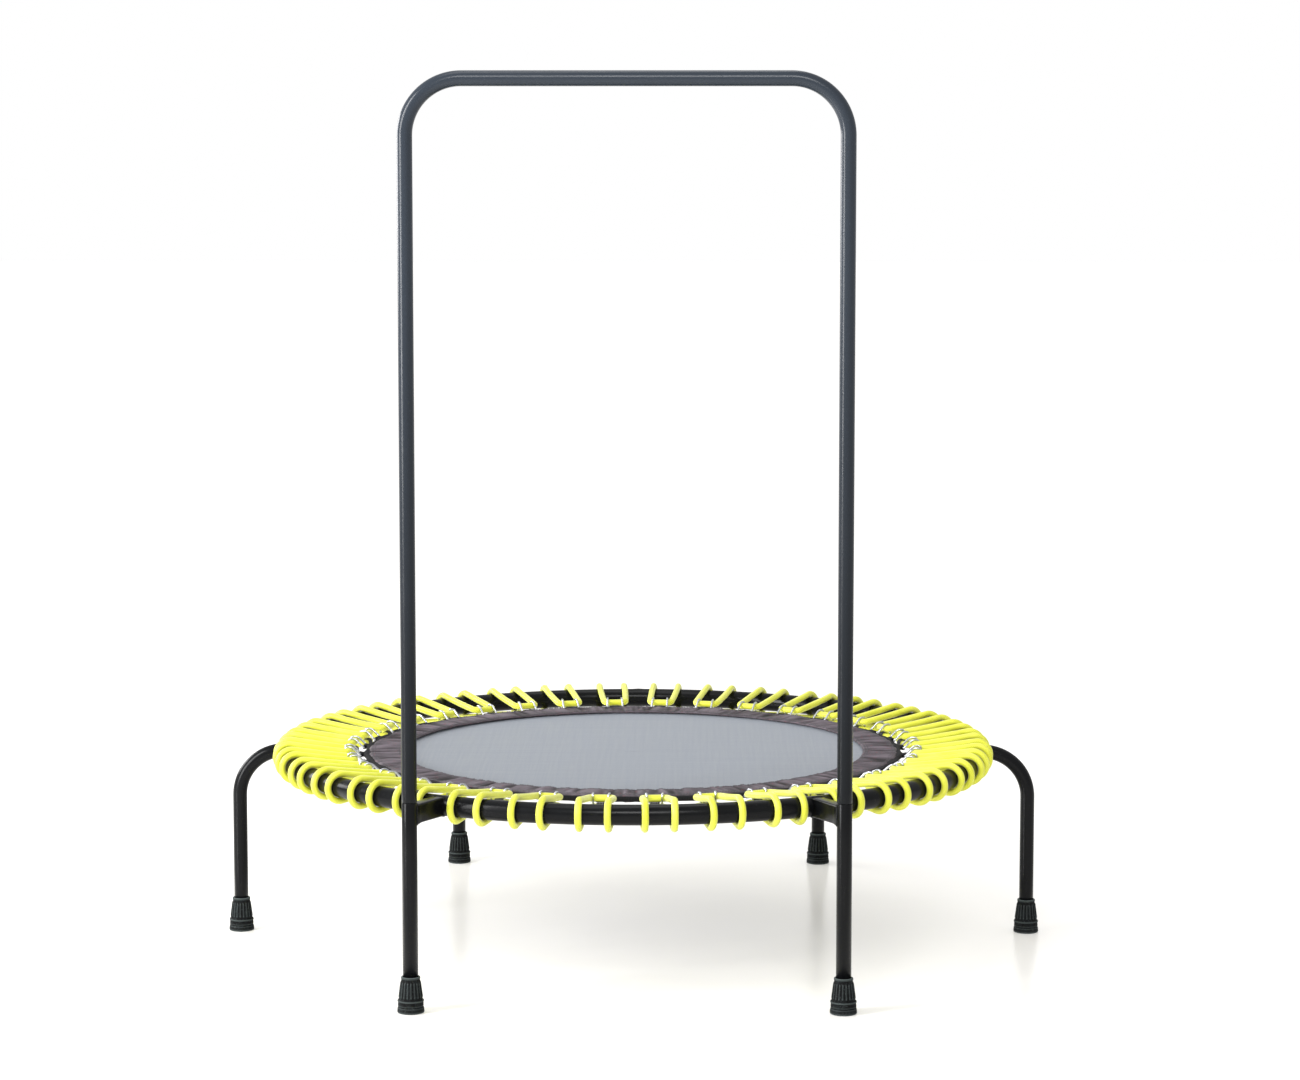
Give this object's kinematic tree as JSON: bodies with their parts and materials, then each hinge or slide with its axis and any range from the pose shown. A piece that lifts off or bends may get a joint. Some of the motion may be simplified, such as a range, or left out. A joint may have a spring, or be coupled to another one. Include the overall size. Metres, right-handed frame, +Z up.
{
  "type": "mini trampoline",
  "caption": "Round rebounder on rubber-tipped legs, with a stretched mat in elastic cord loops and a plug-in front handlebar.",
  "frame": {"origin": "on the floor, under the centre of the frame ring", "axes": "+Z up; the handlebar stands on the -Y side; -X is the left of someone facing the handlebar from outside"},
  "size_m": [1.271, 1.1196, 1.331],
  "materials": {
    "frame_paint": "black satin powder coat with a slight blue-grey cast",
    "handle_paint": "slate-black satin powder coat",
    "zinc_steel": "bright zinc plate",
    "black_zinc": "black zinc plate",
    "foot_rubber": "moulded black rubber, scuffed matt",
    "mat_weave": "black woven polypropylene with a grey-blue sheen",
    "hem_fabric": "dark brown-black coated nylon, gathered",
    "webbing": "black woven polypropylene webbing",
    "hook_wire": "bright zinc-plated wire",
    "cord_sleeve": "lime-yellow braided polyester sleeve",
    "crimp_metal": "black plastic sleeve"
  },
  "bodies": {
    "root": {"frame_ring": "frame_paint", "front_post_left": "frame_paint", "front_post_right": "frame_paint", "post_bracket_left": "frame_paint", "post_bracket_right": "frame_paint", "leg_side_left": "frame_paint", "leg_side_right": "frame_paint", "leg_back_left": "frame_paint", "leg_back_right": "frame_paint", "leg_inserts": "zinc_steel", "bracket_inserts": "zinc_steel", "saddle_washers": "zinc_steel", "foot_discs": "zinc_steel", "frame_bolts": "black_zinc", "foot_front_left": "foot_rubber", "foot_front_right": "foot_rubber", "foot_side_left": "foot_rubber", "foot_side_right": "foot_rubber", "foot_back_left": "foot_rubber", "foot_back_right": "foot_rubber", "bungees_front": "cord_sleeve", "bungees_front_right": "cord_sleeve", "bungees_back_right": "cord_sleeve", "bungees_back": "cord_sleeve", "bungees_back_left": "cord_sleeve", "bungees_front_left": "cord_sleeve"},
    "handle": {"handlebar": "handle_paint"},
    "mat": {"jumping_mat": "mat_weave", "mat_hem_top": "hem_fabric", "mat_hem_bottom": "hem_fabric", "webbing_loops": "webbing", "mat_hooks": "hook_wire", "bungee_crimps": "crimp_metal"}
  },
  "joints": [
    {"name": "handle_lift", "type": "slide", "parent": "root", "child": "handle", "axis": [0, 0, 1], "range_m": [0, 0.08]},
    {"name": "mat_bounce", "type": "slide", "parent": "root", "child": "mat", "axis": [0, 0, -1], "range_m": [0, 0.08], "stiffness_N_per_m": 8000, "springref_m": -0.005, "deforming": ["bungees_front", "bungees_front_right", "bungees_back_right", "bungees_back", "bungees_back_left", "bungees_front_left"]}
  ]
}
